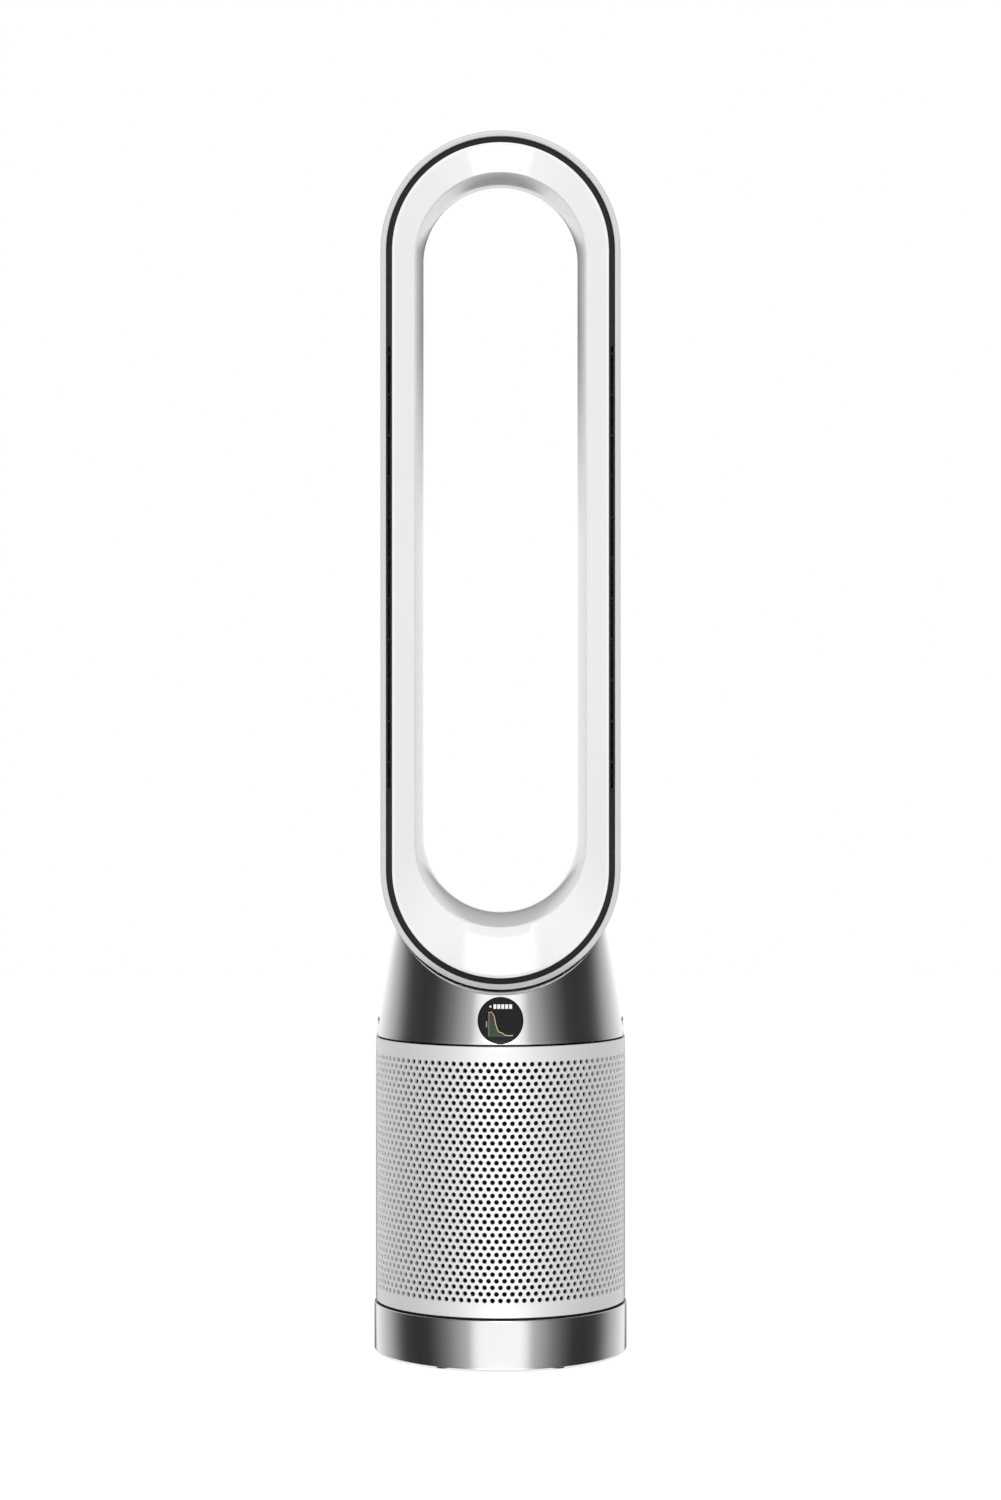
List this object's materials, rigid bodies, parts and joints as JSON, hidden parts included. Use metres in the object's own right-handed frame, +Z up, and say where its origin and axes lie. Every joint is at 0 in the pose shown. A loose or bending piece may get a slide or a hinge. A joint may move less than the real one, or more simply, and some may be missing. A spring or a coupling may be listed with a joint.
{
  "type": "bladeless tower fan",
  "caption": "Bladeless tower fan and air purifier: tall stadium-shaped air loop on a tapered metal collar, over a perforated round body that swivels on a bright base ring.",
  "frame": {"origin": "on the floor, at the middle of the round base, under the swivel axis", "axes": "+Z up along the swivel axis; the front, with the display and the air slot, faces -Y; +X is to the right seen from the front"},
  "size_m": [0.219, 0.219, 1.0499],
  "materials": {
    "silver_metal": "bright satin",
    "silver_cover": "fine satin",
    "white_gloss": "gloss",
    "silver_bevel": "satin",
    "black_plastic": "matt",
    "grey_plastic": "matt",
    "rubber": "matt",
    "steel": "satin",
    "cast_iron": "rough",
    "nylon": "matt",
    "board": "satin",
    "motor_steel": "satin",
    "bearing_steel": "polished",
    "copper": "satin",
    "magnet": "matt",
    "impeller_plastic": "satin",
    "aluminium": "satin",
    "filter_plastic": "matt",
    "filter_paper": "matt",
    "carbon": "rough",
    "foam": "matt",
    "lens": "gloss",
    "button": "satin"
  },
  "bodies": {
    "base": {"base_skirt": "silver_metal", "base_plate": "black_plastic", "rubber_feet": "rubber", "ballast_plate": "cast_iron", "base_screws": "steel", "cable_gland": "rubber", "supply_board": "board", "swivel_gear": "nylon", "glide_ring": "nylon", "swivel_retainer": "steel"},
    "upper": {"turntable": "black_plastic", "swivel_motor": "motor_steel", "body_screws": "steel", "filter_cage": "black_plastic", "bucket": "grey_plastic", "bucket_mounts": "rubber", "inlet_bell": "grey_plastic", "motor_case": "aluminium", "motor_bearings": "bearing_steel", "stator_core": "motor_steel", "stator_coils": "copper", "diffuser": "grey_plastic", "tail_cone": "grey_plastic", "collar": "silver_metal", "duct": "grey_plastic", "duct_seal": "foam", "loop_gasket": "foam", "loop_screws": "steel", "display_lens": "lens", "display_module": "black_plastic", "main_board": "board", "right_spring": "bearing_steel", "left_spring": "bearing_steel", "button_brackets": "black_plastic", "standby_switch": "board", "air_sensor": "black_plastic", "loop_outer_shell": "white_gloss", "loop_inner_shell": "silver_bevel", "slot_trim": "black_plastic", "dock_magnets": "magnet"},
    "impeller": {"impeller": "impeller_plastic", "motor_shaft": "bearing_steel", "rotor_magnet": "magnet"},
    "pinion": {"drive_pinion": "nylon", "gearbox_shaft": "bearing_steel"},
    "front_cover": {"front_cover_screen": "silver_cover", "front_cover_frame": "black_plastic"},
    "rear_cover": {"rear_cover_screen": "silver_cover", "rear_cover_frame": "black_plastic"},
    "front_filter": {"front_filter_frame": "filter_plastic", "front_filter_seals": "foam", "front_filter_pleats": "filter_paper", "front_filter_carbon": "carbon"},
    "rear_filter": {"rear_filter_frame": "filter_plastic", "rear_filter_seals": "foam", "rear_filter_pleats": "filter_paper", "rear_filter_carbon": "carbon"},
    "right_button": {"right_button": "button"},
    "left_button": {"left_button": "button"},
    "standby_button": {"standby_button": "button"}
  },
  "joints": [
    {"name": "swivel", "type": "hinge", "parent": "base", "child": "upper", "pos_m": [0, 0, 0.04], "axis": [0, 0, 1], "range_deg": [-175, 175]},
    {"name": "pinion_spin", "type": "hinge", "parent": "upper", "child": "pinion", "pos_m": [0, 0.045, 0.023], "axis": [0, 0, 1], "range_deg": [-700, 700]},
    {"name": "impeller_spin", "type": "hinge", "parent": "upper", "child": "impeller", "pos_m": [0, 0, 0.14], "axis": [0, 0, 1], "continuous": true},
    {"name": "front_cover_slide", "type": "slide", "parent": "upper", "child": "front_cover", "axis": [0, -1, 0], "range_m": [0, 0.25]},
    {"name": "rear_cover_slide", "type": "slide", "parent": "upper", "child": "rear_cover", "axis": [0, 1, 0], "range_m": [0, 0.25]},
    {"name": "front_filter_slide", "type": "slide", "parent": "upper", "child": "front_filter", "axis": [0, -1, 0], "range_m": [0, 0.125]},
    {"name": "rear_filter_slide", "type": "slide", "parent": "upper", "child": "rear_filter", "axis": [0, 1, 0], "range_m": [0, 0.125]},
    {"name": "right_button_press", "type": "slide", "parent": "upper", "child": "right_button", "axis": [-1, 0, 0], "range_m": [0, 0.0025], "stiffness_N_per_m": 600, "springref_m": -0.002, "deforming": ["right_spring"]},
    {"name": "left_button_press", "type": "slide", "parent": "upper", "child": "left_button", "axis": [1, 0, 0], "range_m": [0, 0.0025], "stiffness_N_per_m": 600, "springref_m": -0.002, "deforming": ["left_spring"]},
    {"name": "standby_press", "type": "slide", "parent": "upper", "child": "standby_button", "axis": [0, -1, 0], "range_m": [0, 0.0008], "stiffness_N_per_m": 2000, "springref_m": -0.0005}
  ],
  "couplings": [
    {"joint": "pinion_spin", "follows": "swivel", "ratio": 4},
    {"joint": "front_filter_slide", "follows": "front_cover_slide", "ratio": 0.5},
    {"joint": "rear_filter_slide", "follows": "rear_cover_slide", "ratio": 0.5}
  ]
}
